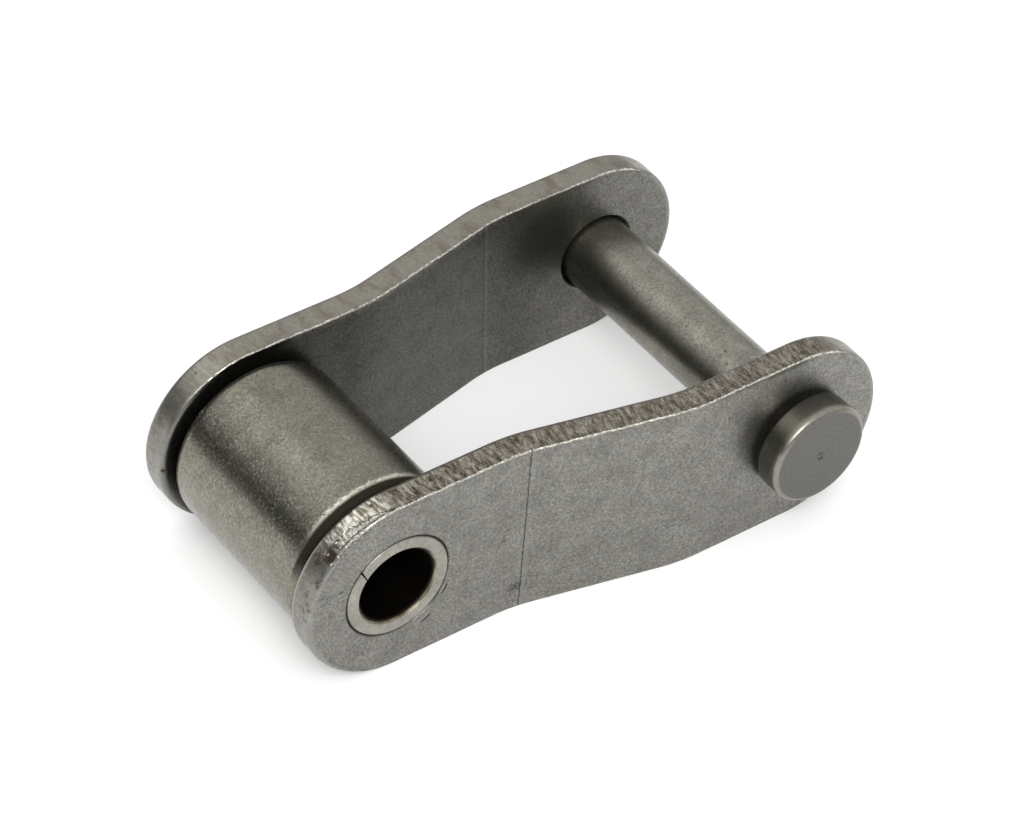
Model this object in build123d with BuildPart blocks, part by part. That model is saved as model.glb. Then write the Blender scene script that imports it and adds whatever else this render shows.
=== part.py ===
from build123d import *
import os
from math import cos, radians, sin, sqrt

# Offset chain link: two cranked side plates, a bushing across the narrow end with a roller on it,
# and a headed pin across the wide end, held by a split cotter behind the far plate.
# Millimetres. The origin is on the bushing's axis, midway between the plates. +X points to the pin,
# +Y to the cotter's side and +Z up. The link stands on the straight lower edges of its plates.

# Chain sizes
pitch = 38.4  # from the bushing's axis to the pin's axis
inner_width = 19.05  # between the plates at the bushing
link_play = 1.5  # by how much the wide end is wider than the next link's narrow end

# Side plates
plate_height = 17.3
plate_thickness = 2.6
pin_end_setback = 0.35  # the pin end's arc is struck from this far inside the pin's axis
first_bend_x = 12.0
second_bend_x = 27.0
bend_radius = 17.0  # at the middle of the plate's thickness
rolled_edge = 0.3  # where the punch rolled the blank's edge over
broken_edge = 0.12  # the blank's other edge

# Bushing
bushing_diameter = 9.9
bushing_bore = 7.0
bore_mouth_chamfer = 0.33
bushing_end_chamfer = 0.15  # with the plate's own chamfer, the fine groove round the end ring

# Roller
roller_diameter = 15.88
roller_end_gap = 0.375  # to each plate
roller_running_clearance = 0.08  # on the radius, over the bushing
roller_end_radius = 1.05
roller_bore_chamfer = 0.3

# Pin
pin_diameter = 6.85
pin_hole_clearance = 0.03  # on the radius, in the plates
pin_hole_chamfer = 0.35
head_diameter = 9.5
head_height = 2.55
head_front_chamfer = 0.35
head_back_chamfer = 0.3
under_head_cone = 0.8  # it bears on the hole's chamfer and keeps the head off the plate
head_seat_clearance = 0.02  # between that cone and the hole's chamfer
centre_mark_radius = 0.45
centre_mark_depth = 0.15
pin_end_chamfer = 0.6
cotter_hole_offset = 1.9  # from the far plate to the cotter's axis
pin_end_margin = 2.4  # from the cotter's axis to the end of the pin

# Cotter, a half-round wire folded flat side to flat side
cotter_wire_radius = 0.9
cotter_hole_clearance = 0.12  # on the radius, in the pin
cotter_leg_gap = 0.1  # between the two flat sides
cotter_eye_radius = 1.0  # inside the eye
cotter_neck_radius = 1.3  # where the legs open into the eye
cotter_neck_length = 0.5  # straight, between the pin and the start of the eye
cotter_bend_radius = 1.5  # where a leg turns away behind the pin
cotter_bend_angle = 40.0  # degrees
cotter_bend_start = 0.3  # straight, from the pin to the bend
cotter_upper_tip = 2.6
cotter_lower_tip = 2.0

# Worked out from the sizes above
inner_face_at_bushing = inner_width / 2
outer_face_at_bushing = inner_face_at_bushing + plate_thickness
inner_face_at_pin = outer_face_at_bushing + link_play / 2
outer_face_at_pin = inner_face_at_pin + plate_thickness
end_radius = plate_height / 2
pin_end_centre_x = pitch - pin_end_setback
bushing_radius = bushing_diameter / 2
bore_radius = bushing_bore / 2
bushing_length = 2 * outer_face_at_bushing
roller_length = inner_width - 2 * roller_end_gap
roller_bore_radius = bushing_radius + roller_running_clearance
pin_radius = pin_diameter / 2
pin_hole_radius = pin_radius + pin_hole_clearance
pin_axis = Axis((pitch, 0, 0), (0, 1, 0))
head_radius = head_diameter / 2
head_standoff = under_head_cone - pin_hole_chamfer - pin_hole_clearance + head_seat_clearance
head_back_y = -outer_face_at_pin - head_standoff
head_front_y = head_back_y - head_height
cotter_hole_radius = cotter_wire_radius + cotter_leg_gap / 2 + cotter_hole_clearance
cotter_y = outer_face_at_pin + cotter_hole_offset
pin_far_end = cotter_y + pin_end_margin

os.makedirs("parts", exist_ok=True)


def circles_of(piece, radius):
    """The round edges of a piece that have this radius."""
    return piece.edges().filter_by(GeomType.CIRCLE).filter_by(lambda edge: abs(edge.radius - radius) < 0.001)


# Side plates: the crank is drawn in plan as a strip, and cut to the blank's outline. Both blanks are
# turned the same way: their edges are rolled over on the +Y face and only just broken on the -Y face.
for plate_name, side in (("near_side_plate", -1), ("far_side_plate", 1)):
    with BuildPart() as side_plate:
        with BuildSketch(Plane.XY.offset(-end_radius)):
            with BuildLine():
                inner_line = FilletPolyline(
                    (-end_radius, side * inner_face_at_bushing),
                    (first_bend_x, side * inner_face_at_bushing),
                    (second_bend_x, side * inner_face_at_pin),
                    (pin_end_centre_x + end_radius, side * inner_face_at_pin),
                    radius=[bend_radius + plate_thickness / 2, bend_radius - plate_thickness / 2],
                )
                outward = Side.LEFT if side > 0 else Side.RIGHT
                offset(inner_line, amount=plate_thickness, side=outward)
            make_face()
        extrude(amount=plate_height)
        with BuildSketch(Plane.XZ):
            with Locations((pin_end_centre_x / 2, 0)):
                SlotCenterToCenter(pin_end_centre_x, plate_height)
        extrude(amount=outer_face_at_pin, both=True, mode=Mode.INTERSECT)
        rolled_faces = side_plate.faces().filter_by(lambda face: face.normal_at().Y > 0.9)
        chamfer(rolled_faces.edges().filter_by(Axis.Z, reverse=True), length=rolled_edge)
        broken_faces = side_plate.faces().filter_by(lambda face: face.normal_at().Y < -0.9)
        chamfer(broken_faces.edges().filter_by(Axis.Z, reverse=True), length=broken_edge)
        with BuildSketch(Plane.XZ):
            Circle(bushing_radius)
            with Locations((pitch, 0)):
                Circle(pin_hole_radius)
        extrude(amount=outer_face_at_pin, both=True, mode=Mode.SUBTRACT)
        bushing_hole = circles_of(side_plate, bushing_radius).sort_by(Axis.Y)
        chamfer(bushing_hole[-1] if side > 0 else bushing_hole[0], length=bushing_end_chamfer)
        chamfer(circles_of(side_plate, pin_hole_radius), length=pin_hole_chamfer)
    side_plate.part.label = plate_name
    export_step(side_plate.part, f"parts/{plate_name}.step")

# Bushing: pressed into both plates, line to line, with its ends flush with their outer faces
with BuildPart() as bushing:
    with BuildSketch(Plane.XZ.offset(-bushing_length / 2)):
        Circle(bushing_radius)
        Circle(bore_radius, mode=Mode.SUBTRACT)
    extrude(amount=bushing_length)
    chamfer(circles_of(bushing, bushing_radius), length=bushing_end_chamfer)
    chamfer(circles_of(bushing, bore_radius), length=bore_mouth_chamfer)
bushing.part.label = "bushing"
export_step(bushing.part, "parts/bushing.step")

# Roller: a thick tube with rounded ends, running on the bushing
with BuildPart() as roller:
    with BuildSketch(Plane.XZ.offset(-roller_length / 2)):
        Circle(roller_diameter / 2)
        Circle(roller_bore_radius, mode=Mode.SUBTRACT)
    extrude(amount=roller_length)
    fillet(circles_of(roller, roller_diameter / 2), radius=roller_end_radius)
    chamfer(circles_of(roller, roller_bore_radius), length=roller_bore_chamfer)
roller.part.label = "roller"
export_step(roller.part, "parts/roller.step")

# Pin: half of its section, turned about its own axis, then drilled for the cotter
with BuildPart() as pin:
    with BuildSketch(Plane.XY):
        with BuildLine():
            Polyline(
                (pitch, head_front_y + centre_mark_depth),
                (pitch + centre_mark_radius, head_front_y),
                (pitch + head_radius - head_front_chamfer, head_front_y),
                (pitch + head_radius, head_front_y + head_front_chamfer),
                (pitch + head_radius, head_back_y - head_back_chamfer),
                (pitch + head_radius - head_back_chamfer, head_back_y),
                (pitch + pin_radius + under_head_cone, head_back_y),
                (pitch + pin_radius, head_back_y + under_head_cone),
                (pitch + pin_radius, pin_far_end - pin_end_chamfer),
                (pitch + pin_radius - pin_end_chamfer, pin_far_end),
                (pitch, pin_far_end),
                (pitch, head_front_y + centre_mark_depth),
            )
        make_face()
    revolve(axis=pin_axis)
    with BuildSketch(Plane.YZ.offset(pitch)):
        with Locations((cotter_y, 0)):
            Circle(cotter_hole_radius)
    extrude(amount=pin_radius, both=True, mode=Mode.SUBTRACT)
pin.part.label = "pin"
export_step(pin.part, "parts/pin.step")

# Cotter: one half-round wire, folded into an eye with its flat sides together. Its path follows the
# flat side, from the upper tip through the pin, round the eye and back through the pin to the lower tip.
bend_turn = radians(cotter_bend_angle)
flat_side_z = cotter_leg_gap / 2
bend_x = pitch - pin_radius - cotter_bend_start
bend_end_x = bend_x - cotter_bend_radius * sin(bend_turn)
bend_end_z = flat_side_z + cotter_bend_radius * (1 - cos(bend_turn))
neck_x = pitch + pin_radius + cotter_neck_length
eye_to_neck = cotter_eye_radius + cotter_neck_radius
neck_centre_z = flat_side_z + cotter_neck_radius
eye_x = neck_x + sqrt(eye_to_neck**2 - neck_centre_z**2)
eye_start_x = eye_x - (eye_x - neck_x) * cotter_eye_radius / eye_to_neck
eye_start_z = neck_centre_z * cotter_eye_radius / eye_to_neck
upper_tip = (bend_end_x - cotter_upper_tip * cos(bend_turn), bend_end_z + cotter_upper_tip * sin(bend_turn))
lower_tip = (bend_end_x - cotter_lower_tip * cos(bend_turn), -bend_end_z - cotter_lower_tip * sin(bend_turn))

with BuildPart() as cotter_pin:
    with BuildLine(Plane.XZ.offset(-cotter_y)) as wire_path:
        Line(upper_tip, (bend_end_x, bend_end_z))
        RadiusArc((bend_end_x, bend_end_z), (bend_x, flat_side_z), -cotter_bend_radius)
        Line((bend_x, flat_side_z), (neck_x, flat_side_z))
        RadiusArc((neck_x, flat_side_z), (eye_start_x, eye_start_z), -cotter_neck_radius)
        ThreePointArc(
            (eye_start_x, eye_start_z), (eye_x + cotter_eye_radius, 0), (eye_start_x, -eye_start_z)
        )
        RadiusArc((eye_start_x, -eye_start_z), (neck_x, -flat_side_z), -cotter_neck_radius)
        Line((neck_x, -flat_side_z), (bend_x, -flat_side_z))
        RadiusArc((bend_x, -flat_side_z), (bend_end_x, -bend_end_z), -cotter_bend_radius)
        Line((bend_end_x, -bend_end_z), lower_tip)
    round_side = (sin(bend_turn), 0, cos(bend_turn))
    with BuildSketch(Plane(origin=wire_path.line @ 0, x_dir=round_side, z_dir=wire_path.line % 0)):
        with BuildLine():
            ThreePointArc((0, cotter_wire_radius), (cotter_wire_radius, 0), (0, -cotter_wire_radius))
            Line((0, -cotter_wire_radius), (0, cotter_wire_radius))
        make_face()
    sweep(path=wire_path.line)
cotter_pin.part.label = "cotter_pin"
export_step(cotter_pin.part, "parts/cotter_pin.step")
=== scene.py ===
from math import atan2, cos, hypot, pi, radians, sin, tan

import bmesh
import bpy
import numpy as np
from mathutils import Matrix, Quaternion, Vector


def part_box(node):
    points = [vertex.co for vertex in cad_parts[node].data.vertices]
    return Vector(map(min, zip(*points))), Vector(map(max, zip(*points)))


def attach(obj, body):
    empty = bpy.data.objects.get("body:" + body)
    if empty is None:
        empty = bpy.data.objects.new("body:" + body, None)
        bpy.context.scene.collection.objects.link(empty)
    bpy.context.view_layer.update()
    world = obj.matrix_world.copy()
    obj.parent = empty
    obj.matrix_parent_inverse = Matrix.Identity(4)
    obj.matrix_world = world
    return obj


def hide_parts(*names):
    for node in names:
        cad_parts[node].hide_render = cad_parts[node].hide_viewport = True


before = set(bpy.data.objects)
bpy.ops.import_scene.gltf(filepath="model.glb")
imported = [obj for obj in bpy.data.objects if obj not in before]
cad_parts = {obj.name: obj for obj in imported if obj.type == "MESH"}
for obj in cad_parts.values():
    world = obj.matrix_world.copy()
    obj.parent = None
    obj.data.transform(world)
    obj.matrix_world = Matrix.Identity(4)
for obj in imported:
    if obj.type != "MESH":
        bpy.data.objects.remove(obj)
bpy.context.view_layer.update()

# Offset chain link. Metres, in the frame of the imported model: the bushing's axis is the Y axis, +X
# points to the pin and +Z up. The finishes work in millimetres.
MM = 0.001
TINY = 0.001 * MM

near_low, near_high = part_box("near_side_plate")
bushing_low, bushing_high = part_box("bushing")
roller_low, roller_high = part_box("roller")
pin_low, pin_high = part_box("pin")
cotter_low, cotter_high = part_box("cotter_pin")

# Side plates: a flat blank is cut, punched and then cranked by two bends
plate_thickness = 2.6 * MM
end_radius = near_high.z
pin_end_x = near_high.x - end_radius
first_bend_x = 12.0 * MM
second_bend_x = 27.0 * MM
bend_radius = 17.0 * MM
crank_rise = near_high.y - near_low.y - plate_thickness
crank_angle = atan2(crank_rise, second_bend_x - first_bend_x)
bend_length = bend_radius * crank_angle
outside_reach = (bend_radius + plate_thickness / 2) * tan(crank_angle / 2)
inside_reach = (bend_radius - plate_thickness / 2) * tan(crank_angle / 2)
slope_length = hypot(second_bend_x - first_bend_x, crank_rise) - outside_reach - inside_reach
first_bend = first_bend_x - outside_reach
second_bend = first_bend + bend_length + slope_length
flat_pin_end_x = pin_end_x + second_bend + bend_length - second_bend_x - inside_reach
bend_steps = 15
plate_middle_y = bushing_high.y - plate_thickness / 2

# The blank's mesh, and how far its rims are rounded
edge_step = 0.125 * MM
face_step = 0.25 * MM
face_inset = 0.7 * MM
first_cuts = 15
rows_across = 16
rolled_edge = 0.42 * MM
rolled_segments = 5
worn_edge = 0.42 * MM
worn_segments = 4
broken_edge = 0.12 * MM
worn_turns = (42, 78)

# The torn edge, by the turn in degrees up from the tip of an end, and by the share across the plate
burnished_starts = (36, 52)
burnished_stops = (80, 90)
nose_smooth_below = (38, 50)
pin_end_smooth_below = (60, 78)
torn_up_to = (0.33, 0.42)
torn_past_rim = (-0.46, -0.3)
ledge_turns = (50, 86)
ledge_waves = ((0.03, 2.3, 0.0), (0.02, 0.9, 1.3), (0.01, 0.37, 0.0))  # height, length, start

# Holes in the plates
overshoot = 1.0 * MM  # how far a cutter reaches past what it cuts
bushing_radius = 4.95 * MM
bushing_hole_chamfer = 0.15 * MM
pin_x = (pin_low.x + pin_high.x) / 2
pin_blank_x = pin_x + flat_pin_end_x - pin_end_x
pin_radius = 3.425 * MM
pin_hole_radius = 3.455 * MM
pin_hole_chamfer = 0.35 * MM
hole_sides = 192

# Bushing, roller and pin
bore_radius = 3.5 * MM
bore_mouth_chamfer = 0.33 * MM
bushing_end_chamfer = 0.15 * MM
seam_angle = radians(141)
seam_lean = radians(-23)
seam_gap_inside = 0.015 * MM
seam_gap_outside = 0.24 * MM
roller_radius = 7.94 * MM
roller_bore_radius = 5.03 * MM
roller_end_radius = 1.2 * MM
roller_bore_chamfer = 0.3 * MM
head_radius = 4.75 * MM
head_height = 2.55 * MM
head_edge_radius = 0.52 * MM
head_back_radius = 0.3 * MM
under_head_cone = 0.8 * MM
mark_radius = 0.28 * MM  # the centre mark: a groove round a low middle
mark_middle = 0.03 * MM
mark_groove = 0.1 * MM
end_face_radius = 0.05 * MM
pin_end_chamfer = 0.6 * MM
cotter_y = (cotter_low.y + cotter_high.y) / 2
cotter_hole_radius = 1.07 * MM
cotter_hole_sides = 48
round_steps = 256
tube_bands = 12
long_bands = 60
head_bands = 8


def only(piece):
    """Makes one piece the active and only selected object."""
    bpy.ops.object.select_all(action="DESELECT")
    piece.select_set(True)
    bpy.context.view_layer.objects.active = piece


def pick(kind, test):
    """In edit mode, selects the vertices, edges or faces of the active piece that pass the test."""
    bpy.ops.mesh.select_mode(type=kind)
    bpy.ops.mesh.select_all(action="DESELECT")
    shape = bmesh.from_edit_mesh(bpy.context.object.data)
    for part in {"VERT": shape.verts, "EDGE": shape.edges, "FACE": shape.faces}[kind]:
        if test(part):
            part.select_set(True)
    bmesh.update_edit_mesh(bpy.context.object.data)


def pick_marked(piece, marked):
    """Selects the vertices marked True, and leaves the piece in edit mode."""
    bpy.ops.object.mode_set(mode="OBJECT")
    piece.data.polygons.foreach_set("select", np.zeros(len(piece.data.polygons), bool))
    piece.data.edges.foreach_set("select", np.zeros(len(piece.data.edges), bool))
    piece.data.vertices.foreach_set("select", marked)
    bpy.ops.object.mode_set(mode="EDIT")


def smooth(piece, angle):
    """Smooth shading, with a crisp edge where two faces meet at more than an angle in degrees."""
    only(piece)
    bpy.ops.object.shade_smooth_by_angle(angle=radians(angle))


def places(piece):
    """The places of a piece's vertices, one row each."""
    table = np.empty(3 * len(piece.data.vertices))
    piece.data.vertices.foreach_get("co", table)
    return table.reshape(-1, 3)


def step_up(values, low, high):
    """0 up to low, 1 from high, and a smooth step between them."""
    share = np.clip((values - low) / (high - low), 0, 1)
    return share * share * (3 - 2 * share)


def step_down(values, low, high):
    """1 up to low, 0 from high, and a smooth step between them."""
    return 1 - step_up(values, low, high)


def relief(piece, weights, grain, height, middle, depth):
    """Raises or sinks a piece's surface by a cloud pattern, as far as each vertex's weight allows.
    The grain is the pattern's size along X, Y and Z, in millimetres like the height, and the depth
    is how fine its detail goes."""
    group = piece.vertex_groups.new(name="relief")
    for index in np.nonzero(weights > 0)[0]:
        group.add([int(index)], float(weights[index]), "REPLACE")
    pattern = bpy.data.textures.new("relief", "CLOUDS")
    pattern.noise_scale = 1.0
    pattern.noise_depth = depth
    scale = bpy.data.objects.new("relief_scale", None)
    bpy.context.scene.collection.objects.link(scale)
    scale.scale = [size * MM for size in grain]
    bpy.context.view_layer.update()
    push = piece.modifiers.new("relief", "DISPLACE")
    push.texture = pattern
    push.texture_coords = "OBJECT"
    push.texture_coords_object = scale
    push.vertex_group = group.name
    push.strength = height * MM
    push.mid_level = middle
    only(piece)
    bpy.ops.object.modifier_apply(modifier=push.name)
    piece.vertex_groups.clear()
    bpy.data.objects.remove(scale)


def remember(piece, name, values):
    """Keeps a value, or a vector, for each vertex of a piece, for its finish to read."""
    kind, field = ("FLOAT_VECTOR", "vector") if values.ndim == 2 else ("FLOAT", "value")
    kept = piece.data.attributes.new(name, kind, "POINT")
    kept.data.foreach_set(field, values.astype(np.float32).ravel())


def inside_outline(x, z):
    """How far inside the flat blank's outline a place lies."""
    return end_radius - np.hypot(z, np.maximum(np.maximum(-x, x - flat_pin_end_x), 0))


def add_outline(radius, step, level):
    """In edit mode, adds a ring like the blank's outline: a circle whose right half is moved to the
    pin end, with its long sides divided as finely as its ends."""
    count = 8 * round(2 * pi * radius / step / 8)
    bpy.ops.mesh.select_all(action="DESELECT")
    bpy.ops.mesh.primitive_circle_add(
        vertices=count, radius=radius, location=(0, level, 0), rotation=(pi / 2, pi / count, 0)
    )
    shape = bmesh.from_edit_mesh(bpy.context.object.data)
    for vertex in [v for v in shape.verts if v.select]:
        vertex.select_set(vertex.co.x > 0)
    shape.select_flush(True)
    bpy.ops.transform.translate(value=(flat_pin_end_x, 0, 0))
    pick("EDGE", lambda edge: edge.calc_length() > flat_pin_end_x / 2)
    bpy.ops.mesh.subdivide(number_cuts=first_cuts)
    bpy.ops.mesh.subdivide(number_cuts=round(flat_pin_end_x / step / (first_cuts + 1)) - 1)


def cut_blank(name):
    """The flat blank, centred on y = 0: a fine ring round the edge and a coarser grid on each face.
    Its edge is rolled over on the +Y side, worn on the -Y side and divided into rows."""
    bpy.ops.object.select_all(action="DESELECT")
    bpy.ops.mesh.primitive_plane_add(size=MM)
    blank = bpy.context.object
    blank.name = name
    blank.data.name = name
    bpy.ops.object.mode_set(mode="EDIT")
    bpy.ops.mesh.delete(type="VERT")
    level = -plate_thickness / 2
    add_outline(end_radius, edge_step, level)
    add_outline(end_radius - face_inset, face_step, level)
    bpy.ops.mesh.select_all(action="SELECT")
    bpy.ops.mesh.bridge_edge_loops()
    inner_ring = 0.9 * face_inset
    pick("EDGE", lambda edge: all(inside_outline(v.co.x, v.co.z) > inner_ring for v in edge.verts))
    shape = bmesh.from_edit_mesh(blank.data)
    upper_left = Vector((-end_radius, level, end_radius))
    corner = min((v for v in shape.verts if v.select), key=lambda v: (v.co - upper_left).length)
    shape.select_history.clear()
    shape.select_history.add(corner)
    quarter_turn = (end_radius - face_inset) * pi / 2 / face_step
    bpy.ops.mesh.fill_grid(span=2 * round(quarter_turn / 2), offset=0)
    bpy.ops.mesh.select_all(action="SELECT")
    bpy.ops.mesh.extrude_region_move(TRANSFORM_OT_translate={"value": (0, plate_thickness, 0)})
    bpy.ops.mesh.select_all(action="SELECT")
    bpy.ops.mesh.normals_make_consistent(inside=False)
    bpy.ops.object.mode_set(mode="OBJECT")
    break_rim(blank, 1, rolled_edge, np.ones_like, rolled_segments)
    break_rim(blank, -1, worn_edge, rim_wear, worn_segments)
    bpy.ops.object.mode_set(mode="EDIT")
    pick("EDGE", lambda edge: abs(edge.verts[0].co.y - edge.verts[1].co.y) > plate_thickness / 2)
    bpy.ops.mesh.subdivide(number_cuts=rows_across - 1)
    bpy.ops.object.mode_set(mode="OBJECT")
    return blank


def rim_wear(turn):
    """How far the -Y rim is worn round, as a share of its full wear: both ends are, and the long
    edges stay crisp. The turn goes from 0 at the tip of an end to 90 degrees at its long edges."""
    crisp = broken_edge / worn_edge
    return crisp + (1 - crisp) * step_down(np.abs(turn), *worn_turns)


def break_rim(blank, side, width, wear, segments):
    """Rounds the blank's rim on one face, by a width that may change along it."""
    place = places(blank)
    on_rim = np.abs(place[:, 1] - side * plate_thickness / 2) < TINY
    on_rim &= inside_outline(place[:, 0], place[:, 2]) < TINY
    ends = np.empty(2 * len(blank.data.edges), np.int32)
    blank.data.edges.foreach_get("vertices", ends)
    ends = ends.reshape(-1, 2)
    x, _, z = place[ends].mean(axis=1).T
    past_end = np.where(x < pin_end_x / 2, -x, x - flat_pin_end_x)
    turn = np.degrees(np.arctan2(z, np.maximum(past_end, 0)))
    weight = np.where(on_rim[ends].all(axis=1), wear(turn), 0.0)
    marks = blank.data.attributes.new("bevel_weight_edge", "FLOAT", "EDGE")
    marks.data.foreach_set("value", weight.astype(np.float32))
    rounding = blank.modifiers.new("rim", "BEVEL")
    rounding.limit_method = "WEIGHT"
    rounding.width = width
    rounding.segments = segments
    only(blank)
    bpy.ops.object.modifier_apply(modifier=rounding.name)
    blank.data.attributes.remove(blank.data.attributes["bevel_weight_edge"])


def add_punch(radius, x, mouths):
    """The cutter of a hole: a cylinder along Y, flared by a chamfer at each mouth that has one."""
    bpy.ops.object.select_all(action="DESELECT")
    bpy.ops.mesh.primitive_cylinder_add(
        vertices=hole_sides, radius=radius, depth=plate_thickness, location=(x, 0, 0),
        rotation=(pi / 2, 0, 0),
    )
    punch = bpy.context.object
    bpy.ops.object.transform_apply(location=True, rotation=True, scale=True)
    bpy.ops.object.mode_set(mode="EDIT")
    for side in (-1, 1):
        chamfer = mouths.get(side, 0)
        pick("FACE", lambda face: face.normal.y * side > 0.9)
        if not chamfer:
            bpy.ops.transform.translate(value=(0, side * overshoot, 0))
            continue
        bpy.ops.transform.translate(value=(0, -side * chamfer, 0))
        reach = chamfer + overshoot
        bpy.ops.mesh.extrude_region_move(TRANSFORM_OT_translate={"value": (0, side * reach, 0)})
        grow = 1 + reach / radius
        outer_end = (x, side * (plate_thickness / 2 + overshoot), 0)
        bpy.ops.transform.resize(value=(grow, 1, grow), center_override=outer_end)
    bpy.ops.object.mode_set(mode="OBJECT")
    return punch


def cut_away(piece, cutter):
    """Cuts a cutter's shape out of a piece and clears the cutter away."""
    cut = piece.modifiers.new("cut", "BOOLEAN")
    cut.operation = "DIFFERENCE"
    cut.solver = "EXACT"
    cut.object = cutter
    only(piece)
    bpy.ops.object.modifier_apply(modifier=cut.name)
    bpy.data.objects.remove(cutter)


def crank(piece, side):
    """Moves the blank to its side of the link and bends it outwards, the far bend first, so that
    each fold is made at its place in the flat."""
    along = places(piece)[:, 0]
    middle_y = side * plate_middle_y
    pick_marked(piece, np.ones(len(along), bool))
    bpy.ops.transform.translate(value=(0, middle_y, 0))
    for start, turn in ((second_bend, 1), (first_bend, -1)):
        for step in reversed(range(bend_steps)):
            fold = start + (step + 0.5) * bend_length / bend_steps
            pick_marked(piece, along > fold)
            bpy.ops.transform.rotate(
                value=turn * side * crank_angle / bend_steps, orient_axis="Z",
                center_override=(fold, middle_y, 0),
            )
    bpy.ops.object.mode_set(mode="OBJECT")


def tear_edge(piece, torn):
    """The edge as the press left it: torn streaks across its thickness, a ragged lip on the -Y rim
    and, at the bushing end of a torn plate, a burnished stretch over a rough ledge."""
    x, y, z = places(piece).T
    across = y / plate_thickness
    inside = inside_outline(x, z)
    on_edge = step_down(inside, 0.02 * MM, 0.1 * MM)
    turn = np.degrees(np.arctan2(z, -x))
    on_nose = np.where(x < 0, 1.0, 0.0)
    burnished = on_nose * step_up(turn, *burnished_starts) * step_down(turn, *burnished_stops)
    smooth_nose = on_nose * step_down(turn, *nose_smooth_below)
    pin_end_turn = np.degrees(np.arctan2(z, x - flat_pin_end_x))
    below = step_down(pin_end_turn, *pin_end_smooth_below)
    smooth_pin_end = np.where(x > flat_pin_end_x, below, 0.0)
    streaks = on_edge * torn * step_down(across, *torn_up_to)
    streaks *= (1 - burnished) * (1 - smooth_nose) * (1 - smooth_pin_end)
    past_rim = step_up(across, *torn_past_rim)
    wave = sum(high * np.sin(turn / long + start) for high, long, start in ledge_waves)
    ledge_top = -0.05 - 0.3 * step_up(turn, *ledge_turns) + wave
    ledge = on_edge * torn * burnished * step_down(across, ledge_top, ledge_top + 0.05)
    lip = step_down(across, -0.47, -0.44) * step_down(inside, 0.1 * MM, 0.12 * MM)
    lip *= step_up(z, 6.5 * MM, 8.2 * MM)
    for weights, grain, height, middle, depth in (
        (streaks * past_rim, (0.34, 1.6, 0.34), 0.13, 0.6, 2),
        (streaks * past_rim, (0.17, 0.45, 0.17), 0.08, 0.6, 2),
        (on_edge * burnished * torn, (0.22, 1.4, 0.22), 0.06, 0.5, 2),
        (ledge * past_rim, (0.25, 0.3, 0.25), 0.14, 1.3, 2),
        (on_edge, (3, 3, 3), 0.05, 0.5, 0),
        (lip, (0.35, 0.3, 0.3), 0.1, 0.15, 2),
    ):
        relief(piece, weights, grain, height, middle, depth)
    remember(piece, "torn", streaks)
    remember(piece, "burnished", on_edge * burnished * torn)
    remember(piece, "ledge", ledge)


def make_plate(name, side, torn):
    """A side plate, torn by a share from 0 to 1. Its mesh keeps each point's place in the flat
    blank, and how far inside the outline it lies, in millimetres."""
    piece = cut_blank(name)
    tear_edge(piece, torn)
    cut_away(piece, add_punch(bushing_radius, 0, {side: bushing_hole_chamfer}))
    both_mouths = {-1: pin_hole_chamfer, 1: pin_hole_chamfer}
    cut_away(piece, add_punch(pin_hole_radius, pin_blank_x, both_mouths))
    place = places(piece)
    remember(piece, "blank", place / MM)
    remember(piece, "sunk", inside_outline(place[:, 0], place[:, 2]) / MM)
    crank(piece, side)
    smooth(piece, 35)
    return piece


def quarter_round(radius, y, size, start, steps=6):
    """Stations of a rounded corner of a turned piece, struck from a centre, through a quarter turn.
    The start is in degrees, from 0 outwards to 90 towards +Y."""
    turns = [radians(start + 90 * step / steps) for step in range(steps + 1)]
    return [(radius + size * cos(turn), y + size * sin(turn)) for turn in turns]


def evenly(radius, low, high, count):
    """Stations along a straight cylinder, without its two ends."""
    return [(radius, low + (high - low) * step / count) for step in range(1, count)]


def turned(name, x, stations, hollow):
    """A piece turned round a line along Y at this x. Each station is a radius and a place along Y.
    A hollow piece's last station meets its first, and a solid one has a small face at each end."""
    radius, y = stations[0]
    bpy.ops.object.select_all(action="DESELECT")
    bpy.ops.mesh.primitive_circle_add(
        vertices=round_steps, radius=radius, location=(x, y, 0), rotation=(pi / 2, 0, 0),
        fill_type="NOTHING" if hollow else "NGON",
    )
    piece = bpy.context.object
    piece.name = name
    piece.data.name = name
    bpy.ops.object.transform_apply(location=True, rotation=True, scale=True)
    bpy.ops.object.mode_set(mode="EDIT")
    bpy.ops.mesh.select_mode(type="EDGE")
    bpy.ops.mesh.select_all(action="SELECT")
    for next_radius, next_y in stations[1:]:
        bpy.ops.mesh.extrude_edges_move(TRANSFORM_OT_translate={"value": (0, next_y - y, 0)})
        grow = next_radius / radius
        bpy.ops.transform.resize(value=(grow, 1, grow), center_override=(x, next_y, 0))
        radius, y = next_radius, next_y
    if not hollow:
        bpy.ops.mesh.edge_face_add()
    bpy.ops.mesh.select_all(action="SELECT")
    bpy.ops.mesh.remove_doubles(threshold=TINY / 4)
    bpy.ops.mesh.normals_make_consistent(inside=False)
    bpy.ops.object.mode_set(mode="OBJECT")
    return piece


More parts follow.
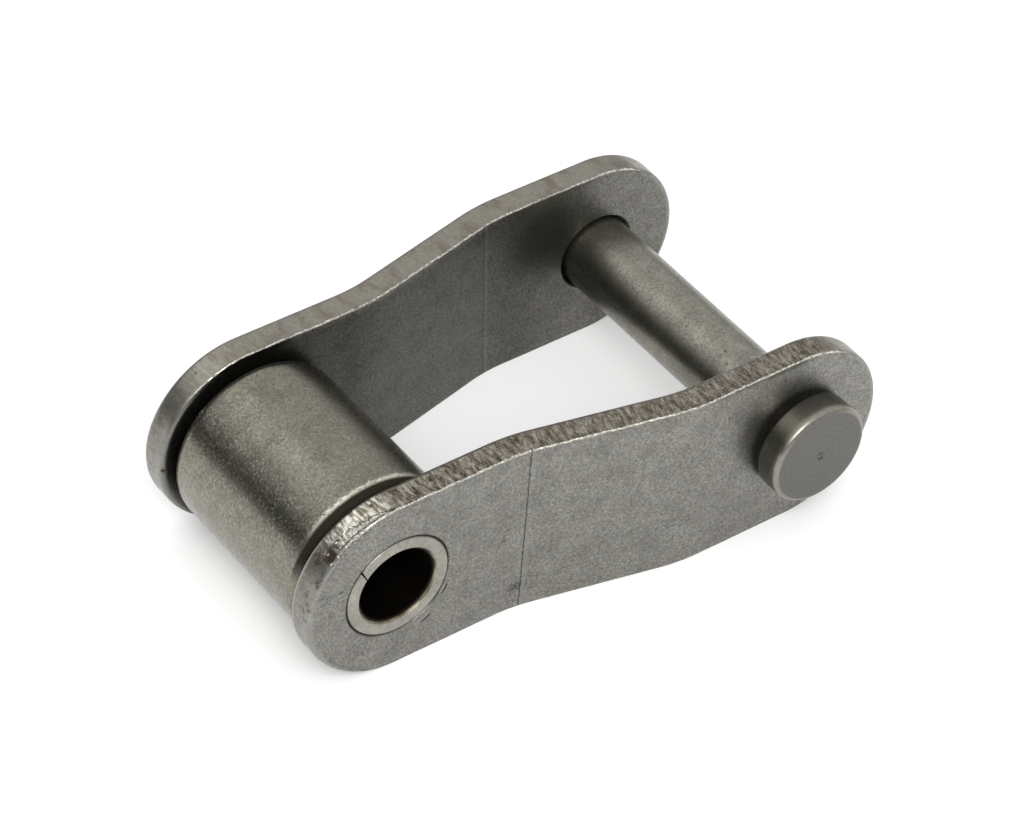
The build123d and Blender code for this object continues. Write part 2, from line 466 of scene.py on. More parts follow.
def add_wedge(x_near, x_far, width_near, width_far, turn, lean):
    """A long thin cutter along Y, from one distance from the bushing's axis to another. It leans to
    one side and is turned into place."""
    middle = (x_near + x_far) / 2
    bpy.ops.object.select_all(action="DESELECT")
    bpy.ops.mesh.primitive_cube_add(size=1, location=(middle, 0, 0))
    wedge = bpy.context.object
    bpy.ops.object.transform_apply(location=True, rotation=True, scale=True)
    bpy.ops.object.mode_set(mode="EDIT")
    for side, x, width in ((-1, x_near, width_near), (1, x_far, width_far)):
        face_x = middle + side / 2  # of a cube 1 m wide
        pick("FACE", lambda face: face.normal.x * side > 0.9)
        bpy.ops.transform.resize(
            value=(1, 3 * bushing_high.y, width), center_override=(face_x, 0, 0)
        )
        bpy.ops.transform.translate(value=(x - face_x, 0, 0))
    bpy.ops.mesh.select_all(action="SELECT")
    bpy.ops.transform.rotate(value=lean, orient_axis="Y", center_override=(middle, 0, 0))
    bpy.ops.object.mode_set(mode="OBJECT")
    wedge.rotation_euler = (0, -turn, 0)
    only(wedge)
    bpy.ops.object.transform_apply(location=True, rotation=True, scale=True)
    return wedge


def make_bushing():
    end = bushing_high.y
    piece = turned("bushing_tube", 0, [
        (bore_radius, -end + bore_mouth_chamfer), (bore_radius + bore_mouth_chamfer, -end),
        (bushing_radius - bushing_end_chamfer, -end), (bushing_radius, -end + bushing_end_chamfer),
        *evenly(bushing_radius, -end, end, tube_bands),
        (bushing_radius, end - bushing_end_chamfer), (bushing_radius - bushing_end_chamfer, end),
        (bore_radius + bore_mouth_chamfer, end), (bore_radius, end - bore_mouth_chamfer),
        *evenly(bore_radius, end, -end, tube_bands),
        (bore_radius, -end + bore_mouth_chamfer),
    ], hollow=True)
    cut_away(piece, add_wedge(
        bore_radius - overshoot, bushing_radius + overshoot, seam_gap_inside, seam_gap_outside,
        seam_angle, seam_lean,
    ))
    smooth(piece, 25)
    return piece


def make_roller():
    end = roller_high.y
    mouth = roller_bore_radius + roller_bore_chamfer
    corner = roller_radius - roller_end_radius
    corner_y = end - roller_end_radius
    piece = turned("roller_tube", 0, [
        (roller_bore_radius, -end + roller_bore_chamfer), (mouth, -end),
        *quarter_round(corner, -corner_y, roller_end_radius, -90),
        *evenly(roller_radius, -corner_y, corner_y, long_bands),
        *quarter_round(corner, corner_y, roller_end_radius, 0),
        (mouth, end), (roller_bore_radius, end - roller_bore_chamfer),
        *evenly(roller_bore_radius, end, -end, tube_bands),
        (roller_bore_radius, -end + roller_bore_chamfer),
    ], hollow=True)
    smooth(piece, 30)
    return piece


def make_pin():
    front = pin_low.y
    back = front + head_height
    end = pin_high.y
    edge_y = front + head_edge_radius
    back_y = back - head_back_radius
    cone_y = back + under_head_cone
    piece = turned("headed_pin", pin_x, [
        (end_face_radius, front + mark_middle), (0.6 * mark_radius, front + mark_middle),
        (mark_radius, front + mark_groove), (1.6 * mark_radius, front),
        *[(share * head_radius, front) for share in (0.2, 0.4, 0.6, 0.8)],
        *quarter_round(head_radius - head_edge_radius, edge_y, head_edge_radius, -90),
        *evenly(head_radius, edge_y, back_y, head_bands),
        *quarter_round(head_radius - head_back_radius, back_y, head_back_radius, 0),
        (pin_radius + under_head_cone, back), (pin_radius, cone_y),
        *evenly(pin_radius, cone_y, end - pin_end_chamfer, long_bands),
        (pin_radius, end - pin_end_chamfer), (pin_radius - pin_end_chamfer, end),
        (end_face_radius, end),
    ], hollow=False)
    bpy.ops.object.select_all(action="DESELECT")
    bpy.ops.mesh.primitive_cylinder_add(
        vertices=cotter_hole_sides, radius=cotter_hole_radius, depth=4 * pin_radius,
        location=(pin_x, cotter_y, 0), rotation=(0, pi / 2, 0),
    )
    cut_away(piece, bpy.context.object)
    smooth(piece, 30)
    return piece


class Nodes:
    """Short ways to add nodes to a material's tree or the world's. What is fed to a node is another
    node's output, a number or a colour."""

    def __init__(self, tree):
        self.nodes = tree.nodes
        self.links = tree.links

    def add(self, kind, **settings):
        node = self.nodes.new("ShaderNode" + kind)
        for setting, value in settings.items():
            setattr(node, setting, value)
        return node

    def feed(self, socket, value):
        if isinstance(value, bpy.types.NodeSocket):
            self.links.new(value, socket)
        elif isinstance(value, tuple) and len(value) == 3 and socket.type == "RGBA":
            socket.default_value = (*value, 1)
        else:
            socket.default_value = value

    def maths(self, operation, *values):
        node = self.add("Math", operation=operation)
        for socket, value in zip(node.inputs, values):
            self.feed(socket, value)
        return node.outputs[0]

    def part_of(self, place, axis):
        node = self.add("SeparateXYZ")
        self.feed(node.inputs[0], place)
        return node.outputs[axis]

    def colours(self, value, *stops):
        """A run of colours. Each stop is a position and a colour."""
        ramp = self.add("ValToRGB")
        self.feed(ramp.inputs[0], value)
        elements = ramp.color_ramp.elements
        while len(elements) < len(stops):
            elements.new(1.0)
        for element, (position, colour) in zip(elements, stops):
            element.position = position
            element.color = (*colour, 1)
        return ramp.outputs["Color"]

    def mix(self, share, first, second, kind="MIX"):
        node = self.add("Mix", data_type="RGBA", blend_type=kind)
        for index, value in ((0, share), (6, first), (7, second)):
            self.feed(node.inputs[index], value)
        return node.outputs[2]


class Finish(Nodes):
    """A metal finish, laid on in coats. Its patterns follow the place in the model, or a place that
    the vertices keep. Masks are 1 where a coat lies and 0 elsewhere."""

    def __init__(self, name, place_from=None):
        self.material = bpy.data.materials.new(name)
        self.material.use_nodes = True
        super().__init__(self.material.node_tree)
        self.colour = self.roughness = self.normal = None
        if place_from:
            self.place = self.reading(place_from, "Vector")
        else:
            scaled = self.add("VectorMath", operation="SCALE")
            self.feed(scaled.inputs[0], self.add("TexCoord").outputs["Object"])
            scaled.inputs["Scale"].default_value = 1 / MM
            self.place = scaled.outputs[0]

    def reading(self, name, output="Fac"):
        """A value or a vector that is kept on the piece's vertices."""
        return self.add("Attribute", attribute_name=name).outputs[output]

    def joined(self, value):
        """A place whose X is a value, for a pattern that only changes with it."""
        node = self.add("CombineXYZ")
        self.feed(node.inputs[0], value)
        return node.outputs[0]

    def stretched(self, place, size):
        """A place divided by a pattern's size along X, Y and Z."""
        node = self.add("Mapping", vector_type="POINT")
        self.feed(node.inputs["Vector"], place)
        node.inputs["Scale"].default_value = tuple(1 / length for length in size)
        return node.outputs[0]

    def noise(self, size, detail=3.0, roughness=0.6, place=None):
        node = self.add("TexNoise")
        size = size if isinstance(size, tuple) else (size, size, size)
        self.feed(node.inputs["Vector"], self.stretched(place or self.place, size))
        node.inputs["Scale"].default_value = 1.0
        node.inputs["Detail"].default_value = detail
        node.inputs["Roughness"].default_value = roughness
        return node.outputs["Fac"]

    def specks(self, size):
        """A different value for each small grain."""
        node = self.add("TexVoronoi")
        self.feed(node.inputs["Vector"], self.stretched(self.place, (size, size, size)))
        node.inputs["Scale"].default_value = 1.0
        return self.part_of(node.outputs["Color"], "X")

    def distance(self, centre, across_y=True):
        """How far a place is from a centre, along all three axes or only along X and Z."""
        with_y = 1 if across_y else 0
        node = self.add("Mapping", vector_type="POINT")
        self.feed(node.inputs["Vector"], self.place)
        node.inputs["Location"].default_value = (-centre[0], -centre[1] * with_y, -centre[2])
        node.inputs["Scale"].default_value = (1, with_y, 1)
        measure = self.add("VectorMath", operation="LENGTH")
        self.feed(measure.inputs[0], node.outputs[0])
        return measure.outputs["Value"]

    def between(self, value, low, high):
        """0 at low, 1 at high, smooth between, whichever is larger."""
        return self.level(value, low, high, 0.0, 1.0, "SMOOTHSTEP")

    def level(self, value, low, high, at_low, at_high, kind="LINEAR"):
        """A change of scale, held at its ends."""
        node = self.add("MapRange", interpolation_type=kind)
        self.feed(node.inputs["Value"], value)
        node.inputs["From Min"].default_value = low
        node.inputs["From Max"].default_value = high
        node.inputs["To Min"].default_value = at_low
        node.inputs["To Max"].default_value = at_high
        return node.outputs["Result"]

    def spot(self, centre, radius, ragged=0.5):
        """A ragged round patch."""
        wander = self.level(self.noise(0.7 * radius), 0.3, 0.7, -ragged * radius, ragged * radius)
        reach = self.maths("ADD", self.distance(centre), wander)
        return self.between(reach, radius, 0.55 * radius)

    def line(self, value, middle, half_width):
        """1 where a value is at the middle, fading out over the half width."""
        offset = self.maths("ABSOLUTE", self.maths("SUBTRACT", value, middle))
        return self.between(offset, half_width, 0.3 * half_width)

    def product(self, first, *others):
        """Where all of these masks are 1. A number among them is a share of it."""
        for other in others:
            first = self.maths("MULTIPLY", first, other)
        return first

    def paint(self, colour, *masks):
        """Lays a colour over the finish where all the masks are 1."""
        self.colour = self.mix(self.product(*masks), self.colour, colour)

    def roughen(self, roughness, *masks):
        """Changes the roughness where all the masks are 1."""
        node = self.add("Mix", data_type="FLOAT")
        for index, value in ((0, self.product(*masks)), (2, self.roughness), (3, roughness)):
            self.feed(node.inputs[index], value)
        self.roughness = node.outputs[0]

    def bump(self, height, depth):
        """Raises the surface by a pattern, up to a depth, over the bumps it has."""
        node = self.add("Bump")
        node.inputs["Strength"].default_value = 1.0
        node.inputs["Distance"].default_value = depth * MM
        self.feed(node.inputs["Height"], height)
        if self.normal:
            self.feed(node.inputs["Normal"], self.normal)
        self.normal = node.outputs["Normal"]

    def done(self):
        shader = self.nodes["Principled BSDF"]
        shader.inputs["Metallic"].default_value = 1.0
        self.feed(shader.inputs["Base Color"], self.colour)
        self.feed(shader.inputs["Roughness"], self.roughness)
        self.feed(shader.inputs["Normal"], self.normal)
        return self.material


def shade(tone, share):
    """A lighter or darker tone."""
    return tuple(share * part for part in tone)


def nose_place(turn, across):
    """A place on the edge at the bushing end, in millimetres, by its turn up from the tip."""
    radius = end_radius / MM
    return -radius * cos(radians(turn)), across, radius * sin(radians(turn))


def face_place(x, z):
    """A place on the -Y face of the flat blank, in millimetres."""
    return x, -plate_thickness / MM / 2, z


# Colours
plate_tone = (0.214, 0.21, 0.198)
edge_tone = (0.28, 0.265, 0.228)
roller_tone = (0.215, 0.206, 0.175)
bushing_tone = (0.32, 0.313, 0.28)
pin_tone = (0.25, 0.243, 0.213)
head_face_tone = (0.134, 0.131, 0.122)
# The head's rim: worn, and lit by a painted highlight
head_rim_wear_and_highlight = (0.31, 0.293, 0.252)
cotter_tone = (0.3, 0.29, 0.26)
# Painted shade for the faces that look inwards
inward_shade_tint = (0.48, 0.48, 0.46)
rust = (0.075, 0.042, 0.025)
pale_rust = (0.1, 0.062, 0.042)
brown = (0.1, 0.075, 0.045)
soot = (0.045, 0.038, 0.03)
bare = (0.68, 0.66, 0.58)
dirt = (0.03, 0.026, 0.02)

# Zones of a plate's blank in millimetres, from where a mask is 0 to where it is 1. Across goes from
# -1.3 on the -Y face to 1.3 on the +Y face, and sunk is how far inside the outline a place lies.
front_face_across = (-1.1, -1.25)
inward_face_across = (1.0, 1.25)  # counted towards the other plate
front_half_across = (0.0, -1.0)
rolled_rim_across = (0.82, 1.0)
lip_across = (-1.17, -1.24)
rubbed_rim_sunk = (0.7, 0.2)
rolled_rim_sunk = (0.5, 0.3)
edge_sunk = (0.1, 0.02)
lip_sunk = (0.16, 0.1)
ends_height = (7.6, 5.0)
lip_height = (6.0, 8.2)
grooves = ((0, 4.95, 0.13), (pin_blank_x / MM, 3.6, 0.16))  # place along X, radius, width
# The centre of the painted shade round the pin's root on the inward face
pin_root_shade_place = (33.2, 0, 4.4)
flaky_from = 0.3  # a spot with a larger radius is flaky

# A spot is a centre, a radius, how strong it is and its colour
near_spots = [
    (nose_place(44.5, -0.6), 0.9, 0.8, rust), (nose_place(47, -0.35), 0.55, 0.85, soot),
    (nose_place(41, -0.75), 0.45, 0.85, soot), (nose_place(27.5, -1.0), 0.5, 0.8, pale_rust),
    (nose_place(37, 0.25), 0.7, 0.85, (0.065, 0.052, 0.038)),
    (nose_place(77.8, 0.3), 0.28, 0.85, (0.09, 0.065, 0.045)),
    (nose_place(43.5, -0.3), 0.16, 0.75, bare),
    (nose_place(41.5, -1.22), 0.22, 0.75, bare), (nose_place(46.5, -1.18), 0.18, 0.7, bare),
    (nose_place(13, -0.6), 0.34, 0.6, soot), (nose_place(17.5, -0.3), 0.4, 0.5, soot),
    (nose_place(7.5, -0.45), 0.36, 0.55, soot), (nose_place(10, -1.0), 0.24, 0.45, soot),
    (nose_place(2.5, -0.75), 0.32, 0.45, soot),
    (face_place(12.15, -6.15), 0.55, 0.75, soot), (face_place(11.5, -6.3), 0.4, 0.6, soot),
    (face_place(-5.6, 2.2), 0.24, 0.5, soot), (face_place(-6.9, 2.3), 0.2, 0.4, soot),
    (face_place(-6.5, 0.0), 0.5, 0.35, soot), (face_place(-3.1, -5.7), 0.5, 0.35, soot),
    (face_place(10.5, -0.3), 0.4, 0.5, soot), (face_place(7.2, 0.55), 0.4, 0.35, soot),
    (face_place(36.55, 7.2), 0.17, 0.8, soot), (face_place(30.85, 5.7), 0.18, 0.7, soot),
    (face_place(40.7, 6.9), 0.15, 0.5, soot),
]
far_spots = [
    (nose_place(33, -0.4), 0.6, 0.5, brown), (nose_place(26, 0.3), 0.5, 0.4, brown),
    (face_place(-8.4, -0.2), 0.3, 0.9, rust), (nose_place(60, 0.2), 0.14, 0.6, soot),
]
pin_spots = [((37.3, -6.48, 3.27), 0.17), ((36.62, -7.56, 2.93), 0.2), ((39.4, -2.0, 3.2), 0.12)]

# A scratch is a distance from the bushing's axis and a turn in degrees from +X
near_scratches = [(5.4, -30), (5.9, -60.7)]

# A crease is its place along the blank, its lean and how dark its painted shade is
near_crease = (12.61, 0.013, 0.75)
far_crease = (26.25, -0.062, 0.5)


def satin_steel(finish, tone, contrast, grain_size=0.13, smoothness=0.36):
    """The skin that every piece has after tumbling: a fine salt-and-pepper grain, a few pits, and
    faint clouds and brown tints. Gives the grain."""
    grain = finish.noise(2 * grain_size, detail=2.0, roughness=0.75)
    specks = finish.product(finish.specks(grain_size), 0.35)
    salted = finish.maths("ADD", specks, finish.level(grain, 0.3, 0.7, 0.0, 0.65))
    finish.colour = finish.colours(
        salted, (0.12, shade(tone, 1 - 0.5 * contrast)), (0.5, tone),
        (0.88, shade(tone, 1 + 0.6 * contrast)),
    )
    for size, detail, hollows, heights in (
        (0.5, 3.0, (0.34, (0.92, 0.92, 0.92)), (0.66, (1.07, 1.07, 1.07))),
        (1.9, 4.0, (0.32, (0.86, 0.86, 0.86)), (0.66, (1.1, 1.1, 1.1))),
        (1.1, 3.0, (0.36, (0.97, 1.0, 0.97)), (0.62, (1.03, 0.99, 0.96))),
    ):
        tint = finish.colours(finish.noise(size, detail=detail), hollows, heights)
        finish.colour = finish.mix(1.0, finish.colour, tint, "MULTIPLY")
    pits = finish.between(finish.noise(0.42, detail=1.0), 0.31, 0.24)
    finish.paint(shade(tone, 0.35), pits, 0.6)
    finish.roughness = finish.level(grain, 0.34, 0.66, smoothness + 0.07, smoothness - 0.05)
    return grain


def plate_finish(name, side, crease, scratches, spots):
    """A side plate's skin, the edge that the press left, its few marks, and its painted shade and
    highlights.
    """
    finish = Finish(name, "blank")
    along, across, height = (finish.part_of(finish.place, axis) for axis in "XYZ")
    sunk = finish.reading("sunk")
    finish.bump(satin_steel(finish, plate_tone, contrast=0.72), 0.012)

    # Painted shade: the face that looks inwards, towards the other plate, is darkened, less so at
    # the pin end
    inward = finish.between(finish.product(across, -side), *inward_face_across)
    inward_shaded = finish.mix(1.0, finish.colour, inward_shade_tint, "MULTIPLY")
    finish.paint(inward_shaded, inward, finish.level(along, 30.0, 38.0, 1.0, 0.4))

    # The -Y rim is rubbed bright where it is worn round, and lit further by a painted highlight
    finish.paint(
        shade(plate_tone, 1.5), finish.between(sunk, *rubbed_rim_sunk),
        finish.between(across, *front_half_across),
        finish.between(finish.maths("ABSOLUTE", height), *ends_height), 0.5,
    )

    # The whole edge is a little browner than the faces, and least so low down at the bushing end
    drawn = finish.noise((0.17, 0.34, 0.17), roughness=0.7)
    edge_colour = finish.colours(
        drawn, (0.34, shade(edge_tone, 0.86)), (0.5, edge_tone), (0.66, shade(edge_tone, 1.16))
    )
    stains = finish.between(finish.noise((1.4, 2.4, 1.4), detail=4.0), 0.46, 0.64)
    edge_colour = finish.mix(finish.product(stains, 0.5), edge_colour, (0.15, 0.115, 0.075))
    low_nose = finish.product(finish.between(along, -2.0, -5.0), finish.between(height, 7.0, 5.0))
    finish.paint(
        edge_colour, finish.between(sunk, *edge_sunk), finish.level(low_nose, 0, 1, 1.0, 0.3)
    )

    # Torn steel: brown and grey streaks across the thickness, and crumbs, stronger towards the
    # bushing end
    torn = finish.reading("torn")
    streaks = finish.noise((0.34, 1.3, 0.34), roughness=0.7)
    crumbs = finish.noise((0.12, 0.26, 0.12), detail=2.0, roughness=0.7)
    ragged = finish.maths("ADD", finish.product(streaks, 0.66), finish.product(crumbs, 0.34))
    torn_colour = finish.colours(
        ragged, (0.4, (0.066, 0.047, 0.031)), (0.45, (0.13, 0.103, 0.073)),
        (0.52, (0.25, 0.229, 0.186)), (0.62, (0.45, 0.435, 0.385)),
    )
    evened = finish.level(along, 6.0, 15.0, 0.0, 0.22)
    finish.paint(finish.mix(evened, torn_colour, (0.22, 0.198, 0.16)), torn)
    finish.roughen(0.5, torn)
    finish.bump(finish.product(torn, ragged), 0.12)

    # The rolled-over rim is lightened by a painted highlight, most where it faces inwards
    finish.paint(
        shade(plate_tone, 1.9), finish.between(across, *rolled_rim_across),
        finish.between(sunk, *rolled_rim_sunk), 0.6 if side < 0 else 0.1,
    )

    # Burnished steel at the bushing end: bright streaks, and under them a rough ledge whose top line
    # is darkened by painted shade under the step
    burnished = finish.reading("burnished")
    ledge = finish.reading("ledge")
    finish.paint(finish.colours(
        finish.noise((0.26, 1.1, 0.26), roughness=0.65), (0.38, (0.17, 0.145, 0.105)),
        (0.48, (0.37, 0.35, 0.29)), (0.58, (0.78, 0.76, 0.69)),
    ), burnished)
    finish.roughen(0.28, burnished, 0.8)
    finish.paint(finish.colours(
        crumbs, (0.36, (0.24, 0.22, 0.18)), (0.5, (0.46, 0.445, 0.4)), (0.64, (0.76, 0.74, 0.68))
    ), ledge)
    # Painted shade along the top of the ledge, under the step
    finish.paint((0.045, 0.035, 0.025), finish.line(ledge, 0.5, 0.45), 0.85)

    # A lip of bare steel along the top of the -Y rim
    beads = finish.noise((0.3, 0.16, 0.16), detail=2.0, roughness=0.7)
    wavering = finish.maths("ADD", across, finish.level(beads, 0.35, 0.65, 0.05, -0.05))
    lip = finish.product(
        finish.between(wavering, *lip_across), finish.between(sunk, *lip_sunk),
        finish.between(height, *lip_height),
    )
    finish.paint(finish.colours(
        beads, (0.36, (0.27, 0.25, 0.2)), (0.48, (0.5, 0.485, 0.43)), (0.6, (0.82, 0.8, 0.74))
    ), lip)
    finish.roughen(0.33, lip)

    # Dirt in the grooves round the bushing and the pin
    for centre, radius, width in grooves:
        from_centre = finish.distance((centre, 0, 0), across_y=False)
        finish.paint(dirt, finish.between(from_centre, radius + width, radius), 0.85)

    # Painted shade on the inward face, above and behind the pin, where the face is also made rougher
    from_painted_shade = finish.distance(pin_root_shade_place, across_y=False)
    pin_root_shade = finish.product(inward, finish.between(from_painted_shade, 6.0, 1.5))
    finish.paint((0.03, 0.03, 0.022), pin_root_shade, 0.82)
    finish.roughen(0.65, pin_root_shade)

    # The mark of the press tool where a bend begins, drawn as a line of painted shade, and beside it
    # a painted highlight where the steel is pushed up
    at, lean, darkness = crease
    leaning = finish.maths("SUBTRACT", along, finish.product(height, lean))
    on_face = finish.between(across, *front_face_across)
    wobble = finish.level(finish.noise(0.5), 0.3, 0.7, -0.04, 0.04)
    crease_shade = finish.line(finish.maths("ADD", leaning, wobble), at, 0.11)
    finish.paint((0.035, 0.03, 0.024), crease_shade, on_face, darkness)
    finish.paint(
        shade(plate_tone, 1.3), finish.line(leaning, at + 0.3, 0.3), on_face, 0.3 * darkness
    )

    # Short doubled scratches beside the bushing, from the press that set it
    from_bushing = finish.distance((0, 0, 0), across_y=False)
    for radius, turn in scratches:
        middle = face_place(radius * cos(radians(turn)), radius * sin(radians(turn)))
        length = finish.spot(middle, 0.68, ragged=0.1)
        burr = finish.line(from_bushing, radius - 0.2, 0.1)
        finish.paint(shade(plate_tone, 1.8), length, burr, 0.5)
        finish.paint(dirt, length, finish.line(from_bushing, radius, 0.16), 0.9)

    flakes = finish.between(finish.noise(0.2, roughness=0.75), 0.43, 0.54)
    flaky = finish.level(flakes, 0, 1, 0.25, 1.0)
    for centre, radius, strength, stain in spots:
        patch = finish.spot(centre, radius)
        if radius > flaky_from:
            patch = finish.product(patch, flaky)
        patch = finish.product(patch, strength)
        finish.paint(stain, patch)
        finish.roughen(0.6, patch)
    return finish.done()


def bushing_finish(name):
    """Smooth pale end rings, dirt at their groove, a bore blackened by painted shade, and at its
    mouth a golden tint that is partly stain and partly painted reflection.
    """
    finish = Finish(name)
    grain = satin_steel(finish, bushing_tone, contrast=0.16, grain_size=0.2)
    from_axis = finish.distance((0, 0, 0), across_y=False)
    finish.paint(dirt, finish.between(from_axis, 4.82, 4.9), 0.85)
    # At the mouth's chamfer: a golden-brown tint, partly stain and partly painted reflection
    mouth_tint_and_reflection = finish.colours(
        finish.noise((1.2, 0.4, 1.2)), (0.4, (0.11, 0.09, 0.052)), (0.62, (0.33, 0.285, 0.19))
    )
    finish.paint(mouth_tint_and_reflection, finish.between(from_axis, 3.83, 3.74), 0.9)
    # Painted shade: the bore is blackened inside
    inside = finish.between(from_axis, 3.74, 3.58)
    finish.paint((0.012, 0.01, 0.008), inside)
    finish.roughen(0.6, inside)
    finish.bump(grain, 0.004)
    return finish.done()


def roller_finish(name):
    """Grained like the plates but greener, with painted shade at both ends, and a near rim rubbed
    bright and lit by a painted highlight.
    """
    finish = Finish(name)
    grain = satin_steel(finish, roller_tone, contrast=0.62, grain_size=0.11, smoothness=0.27)
    sideways, along, height = (finish.part_of(finish.place, axis) for axis in "XYZ")
    chatter = finish.noise((0.3, 0.12, 0.3), roughness=0.7)
    rubbed = finish.maths("ADD", along, finish.level(chatter, 0.3, 0.7, 0.2, -0.2))
    # The near rim: rubbed bright, and lit by a painted highlight on its upper side
    rim = finish.product(
        finish.between(rubbed, -7.55, -7.8), finish.between(rubbed, -8.1, -7.98),
        finish.between(height, 3.2, 5.6),
    )
    finish.paint(finish.colours(
        chatter, (0.36, shade(roller_tone, 1.4)), (0.5, shade(roller_tone, 2.6)),
        (0.62, shade(roller_tone, 3.8)),
    ), rim)
    finish.roughen(0.27, rim, 0.7)
    # Painted shade on the roller's ends, in the gaps against the plates; at the near end only on its
    # upper side
    near_end_shade = finish.product(
        finish.between(along, -8.02, -8.25), finish.between(height, 0.6, 4.0)
    )
    far_end_shade = finish.between(along, 8.3, 8.6)
    end_shade = finish.product(finish.maths("ADD", near_end_shade, far_end_shade), 0.94)
    finish.paint((0.026, 0.023, 0.016), end_shade)
    finish.roughen(0.8, end_shade)

    # Painted glints: a strip of bright specks and darker specks along the edge of the highlight
    glint_strip = finish.product(
        finish.line(sideways, -5.9, 1.7), finish.between(height, 2.0, 4.0),
        finish.between(along, -7.9, -7.5),
    )
    painted_glints = finish.between(finish.specks(0.15), 0.74, 0.92)
    finish.paint(shade(roller_tone, 2.5), glint_strip, painted_glints, 0.65)
    shaded_specks = finish.between(finish.specks(0.13), 0.3, 0.12)
    finish.paint(shade(roller_tone, 0.35), glint_strip, shaded_specks, 0.5)
    finish.bump(grain, 0.012)
    return finish.done()


def pin_finish(name):
    """A satin shank with a few dark spots and painted shade on its lower side, and a head darkened
    by painted shade, whose face has faint turned rings and whose rim is worn and brightened by a
    painted highlight.
    """
    finish = Finish(name)
    grain = satin_steel(finish, pin_tone, contrast=0.5, grain_size=0.11, smoothness=0.35)
    axis_x = pin_x / MM
    along = finish.part_of(finish.place, "Y")
    behind_face = finish.maths("SUBTRACT", along, pin_low.y / MM)
    from_axis = finish.distance((axis_x, 0, 0), across_y=False)
    # Painted shade darkens the whole head
    finish.paint(shade(pin_tone, 0.5), finish.between(behind_face, 2.7, 2.6), 0.75)
    rings = finish.noise((0.13, 1.0, 1.0), place=finish.joined(from_axis))
    ringed = finish.colours(
        rings, (0.36, shade(head_face_tone, 0.86)), (0.5, head_face_tone),
        (0.64, shade(head_face_tone, 1.14)),
    )
    mottled = finish.colours(
        finish.noise(0.12, detail=2.0, roughness=0.7), (0.36, (0.87, 0.87, 0.87)),
        (0.64, (1.15, 1.15, 1.15)),
    )
    on_face = finish.product(
        finish.between(behind_face, 0.2, 0.12), finish.between(from_axis, 4.54, 4.26)
    )
    finish.paint(finish.mix(1.0, ringed, mottled, "MULTIPLY"), on_face)
    finish.roughen(0.4, on_face)
    # The rim is lightened, patchily, by wear and by a painted highlight
    worn = finish.level(finish.noise(0.4), 0.35, 0.65, 0.55, 0.95)
    finish.paint(
        head_rim_wear_and_highlight, finish.between(behind_face, 0.95, 0.4),
        finish.between(from_axis, 4.26, 4.54), worn,
    )

    # Painted shade on the lower side, towards the far plate
    from_painted_shade = finish.distance((axis_x - 3.4, 0, -2.6), across_y=False)
    finish.paint(
        (0.04, 0.04, 0.032), finish.between(from_painted_shade, 3.9, 2.2),
        finish.between(along, 1.0, 11.0), 0.7,
    )
    for centre, radius in pin_spots:
        finish.paint((0.085, 0.06, 0.04), finish.spot(centre, radius), 0.75)
    finish.bump(finish.maths("ADD", grain, finish.product(on_face, rings)), 0.006)
    return finish.done()


def plain_finish(name, tone):
    finish = Finish(name)
    finish.bump(satin_steel(finish, tone, contrast=0.6), 0.01)
    return finish.done()


def dress(piece, material, body, node):
    """Gives a new piece its finish and its place in the model."""
    piece.data.materials.clear()
    piece.data.materials.append(material)
    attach(piece, body)
    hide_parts(node)


near_plate = make_plate("near_plate", -1, 1.0)
far_plate = make_plate("far_plate", 1, 0.1)
bushing_tube = make_bushing()
roller_tube = make_roller()
headed_pin = make_pin()

near_steel = plate_finish("near_plate_steel", -1, near_crease, near_scratches, near_spots)
far_steel = plate_finish("far_plate_steel", 1, far_crease, [], far_spots)
dress(near_plate, near_steel, "link_frame", "near_side_plate")
dress(far_plate, far_steel, "link_frame", "far_side_plate")
bushing_steel = bushing_finish("bushing_steel_finish")
dress(bushing_tube, bushing_steel, "link_frame", "bushing")
dress(roller_tube, roller_finish("roller_steel_finish"), "roller", "roller")
dress(headed_pin, pin_finish("pin_steel_finish"), "link_frame", "pin")
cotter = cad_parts["cotter_pin"]
cotter.material_slots[0].material = plain_finish("cotter_steel_finish", cotter_tone)

# Studio
floor_size = 20.0
floor_white = (0.88, 0.88, 0.88)
floor_glow = 0.2
camera_place = Vector((-148.36, -210.91, 242.23)) * MM
camera_aim = Vector((15.66, -5.47, 6.09)) * MM
camera_roll = radians(4.07)
camera_lens = 152.28
sensor_width = 36
camera_range = (0.01, 50)
right_wall = 0.35  # how much lower the bright part of the room reaches towards +X
lamps = [  # power in watts, size, distance, turn from +X, rise
    (2.2, 0.3, 0.6, radians(-122), radians(46)),
    (0.12, 0.3, 0.6, radians(112), radians(55)),
]
sky_levels = [  # the height of a direction, from 0 level to 1 overhead, and how bright it is there
    (0.0, 0.03), (0.3, 0.05), (0.42, 0.45), (0.55, 0.8), (0.75, 1.0), (1.0, 0.9),
]
white = (1.0, 1.0, 1.0)


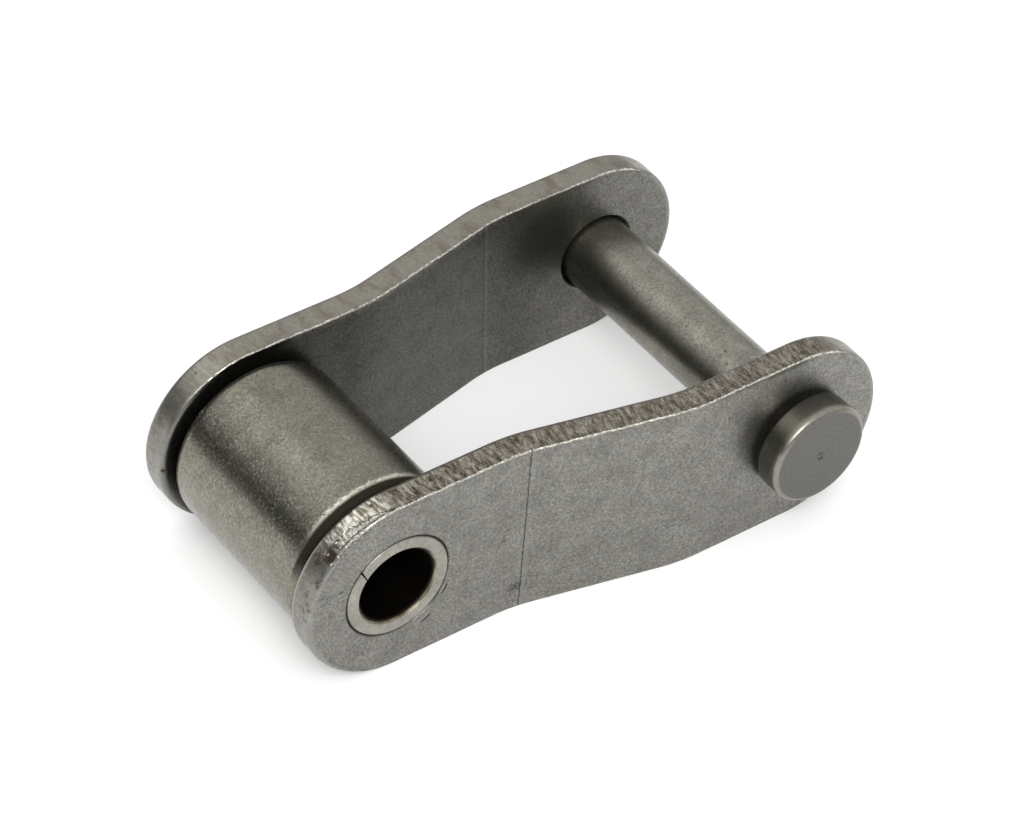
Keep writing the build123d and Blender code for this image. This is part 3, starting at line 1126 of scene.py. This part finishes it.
def make_floor():
    """A plain white floor that glows a little where it is seen, straight or mirrored."""
    bpy.ops.object.select_all(action="DESELECT")
    bpy.ops.mesh.primitive_plane_add(size=floor_size, location=(0, 0, near_low.z))
    floor = bpy.context.object
    floor.name = "studio_floor"
    material = bpy.data.materials.new("white_sweep")
    material.use_nodes = True
    nodes = Nodes(material.node_tree)
    rays = nodes.add("LightPath").outputs
    seen = nodes.maths("MAXIMUM", rays["Is Camera Ray"], rays["Is Glossy Ray"])
    seen = nodes.maths("MAXIMUM", seen, rays["Is Transmission Ray"])
    shader = nodes.nodes["Principled BSDF"]
    for socket, value in (
        ("Base Color", floor_white), ("Roughness", 0.9), ("Specular IOR Level", 0.0),
        ("Emission Color", white), ("Emission Strength", nodes.maths("MULTIPLY", seen, floor_glow)),
    ):
        nodes.feed(shader.inputs[socket], value)
    floor.data.materials.append(material)


def make_room():
    """The room round the set: bright overhead, dark at the floor's level, and plain white where the
    camera looks past the floor."""
    world = bpy.data.worlds.new("studio")
    bpy.context.scene.world = world
    world.use_nodes = True
    nodes = Nodes(world.node_tree)
    direction = nodes.add("TexCoord").outputs["Generated"]
    to_right = nodes.maths("MAXIMUM", nodes.part_of(direction, "X"), 0.0)
    height = nodes.maths("MULTIPLY_ADD", to_right, right_wall, nodes.part_of(direction, "Z"))
    levels = nodes.colours(height, *[(place, (level, level, level)) for place, level in sky_levels])
    camera_ray = nodes.add("LightPath").outputs["Is Camera Ray"]
    seen = nodes.mix(camera_ray, levels, white)
    nodes.feed(nodes.nodes["Background"].inputs["Color"], seen)


def make_lamps():
    for power, size, distance, turn, rise in lamps:
        lamp = bpy.data.lights.new("softbox", "AREA")
        lamp.shape = "SQUARE"
        lamp.size = size
        lamp.energy = power
        softbox = bpy.data.objects.new("softbox", lamp)
        bpy.context.scene.collection.objects.link(softbox)
        away = Vector((cos(rise) * cos(turn), cos(rise) * sin(turn), sin(rise)))
        softbox.location = away * distance
        softbox.rotation_euler = away.to_track_quat("Z", "Y").to_euler()


def make_camera():
    """The camera of the photograph, fitted to its edges."""
    lens = bpy.data.cameras.new("camera")
    lens.lens = camera_lens
    lens.sensor_width = sensor_width
    lens.clip_start, lens.clip_end = camera_range
    camera = bpy.data.objects.new("camera", lens)
    bpy.context.scene.collection.objects.link(camera)
    camera.location = camera_place
    towards = (camera_aim - camera_place).to_track_quat("-Z", "Y")
    camera.rotation_euler = (towards @ Quaternion((0, 0, 1), camera_roll)).to_euler()
    bpy.context.scene.camera = camera


make_floor()
make_room()
make_lamps()
make_camera()
bpy.context.scene.view_settings.view_transform = "Standard"
